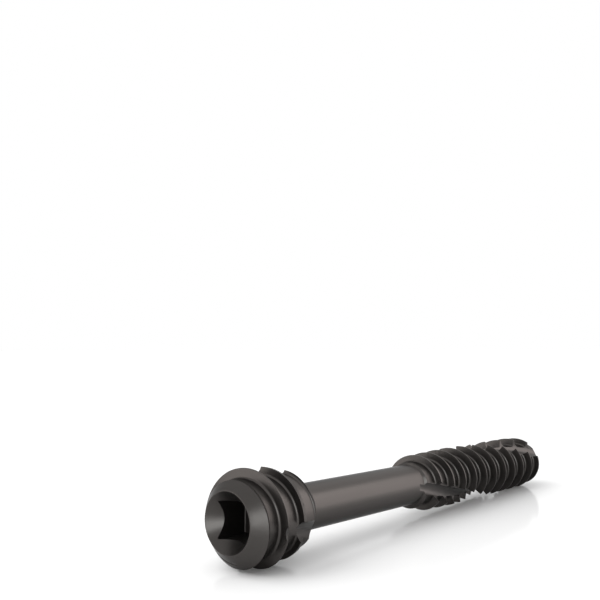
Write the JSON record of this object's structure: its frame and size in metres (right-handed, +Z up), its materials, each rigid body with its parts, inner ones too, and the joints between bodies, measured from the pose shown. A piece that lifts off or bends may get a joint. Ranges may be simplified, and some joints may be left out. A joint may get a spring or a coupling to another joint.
{
  "type": "orthopedic bone screw",
  "caption": "Headless compression bone screw: fluted coarse thread on the tip half, a plain shaft, and a wider relieved head thread with a countersunk square socket.",
  "frame": {"origin": "middle of the overall box at its underside, on the surface the screw lies on", "axes": "+X runs from the head to the tip, +Z is up, and +Y is to the left of that direction"},
  "size_m": [0.065, 0.0096, 0.0096],
  "materials": {
    "dark_titanium": "satin, dark warm grey"
  },
  "bodies": {
    "root": {"bone_screw": "dark_titanium"}
  },
  "joints": []
}
